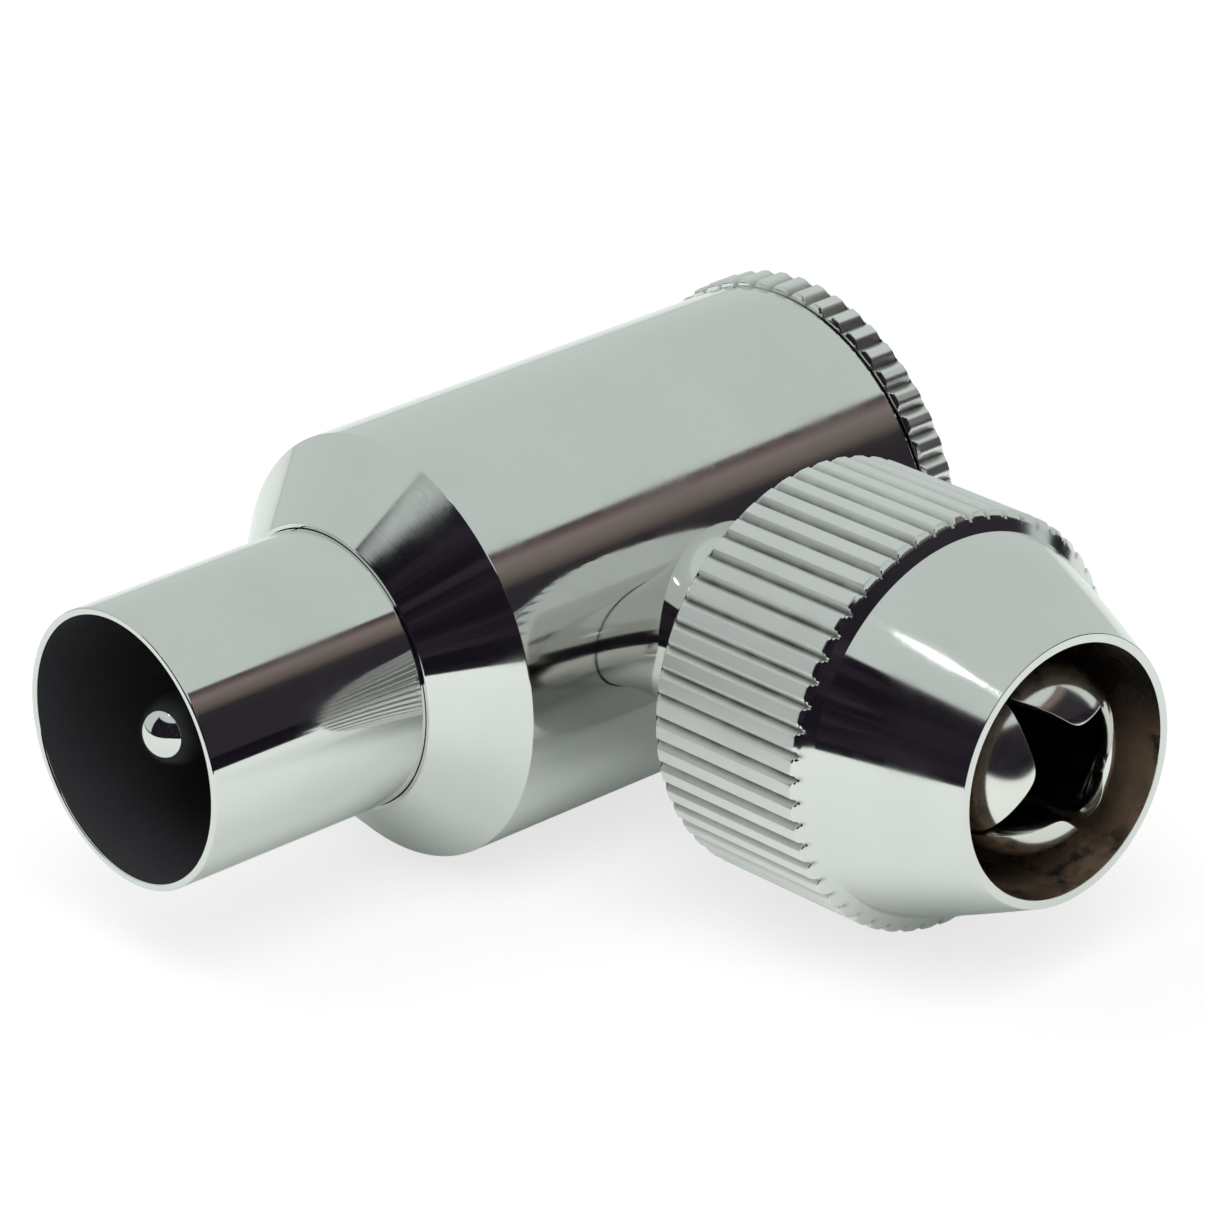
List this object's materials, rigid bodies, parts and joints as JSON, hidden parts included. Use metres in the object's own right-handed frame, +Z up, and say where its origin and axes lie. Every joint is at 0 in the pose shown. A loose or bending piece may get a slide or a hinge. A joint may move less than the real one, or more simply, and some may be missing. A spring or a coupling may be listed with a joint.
{
  "type": "right angle coaxial plug",
  "caption": "Nickel-plated right angle coaxial plug: round-nosed pin in a thin sleeve, collared round body, knurled rear screw cap, and a cable nut with a cone over a petal claw ring.",
  "frame": {"origin": "middle of the bounding box's foot, on the surface that the plug lies on", "axes": "+X along the plug towards its open mouth, +Y along the cable nut towards the cable, +Z up"},
  "size_m": [0.0302, 0.0302, 0.0151],
  "materials": {
    "nickel": "bright nickel plate",
    "claw_nickel": "bright nickel plate",
    "terminal_steel": "plain steel",
    "black_insulator": "moulded black plastic"
  },
  "bodies": {
    "housing": {"housing": "nickel", "plug_sleeve": "nickel", "pin_insulator": "black_insulator", "centre_pin": "nickel"},
    "claw": {"claw_ring": "claw_nickel"},
    "nut": {"compression_nut": "nickel"},
    "disc": {"cap_disc": "black_insulator"},
    "cap": {"rear_cap": "nickel"},
    "washer": {"terminal_washer": "terminal_steel"},
    "screw": {"terminal_screw": "terminal_steel"}
  },
  "joints": [
    {"name": "claw_travel", "type": "slide", "parent": "housing", "child": "claw", "axis": [0, 1, 0], "range_m": [0, 0.0045]},
    {"name": "nut_turn", "type": "hinge", "parent": "claw", "child": "nut", "pos_m": [-0.00477, 0.0063, 0.00755], "axis": [0, 1, 0], "range_deg": [0, 2160]},
    {"name": "disc_travel", "type": "slide", "parent": "housing", "child": "disc", "axis": [-1, 0, 0], "range_m": [0, 0.003]},
    {"name": "cap_turn", "type": "hinge", "parent": "disc", "child": "cap", "pos_m": [-0.0155, -0.00758, 0.00755], "axis": [-1, 0, 0], "range_deg": [0, 1440]},
    {"name": "washer_travel", "type": "slide", "parent": "housing", "child": "washer", "axis": [-1, 0, 0], "range_m": [0, 0.002]},
    {"name": "screw_turn", "type": "hinge", "parent": "washer", "child": "screw", "pos_m": [-0.0078, -0.00758, 0.00755], "axis": [-1, 0, 0], "range_deg": [0, 1800]}
  ],
  "couplings": [
    {"joint": "nut_turn", "follows": "claw_travel", "rad_per_m": 8377.6},
    {"joint": "cap_turn", "follows": "disc_travel", "rad_per_m": 8377.6},
    {"joint": "screw_turn", "follows": "washer_travel", "rad_per_m": 15708}
  ]
}
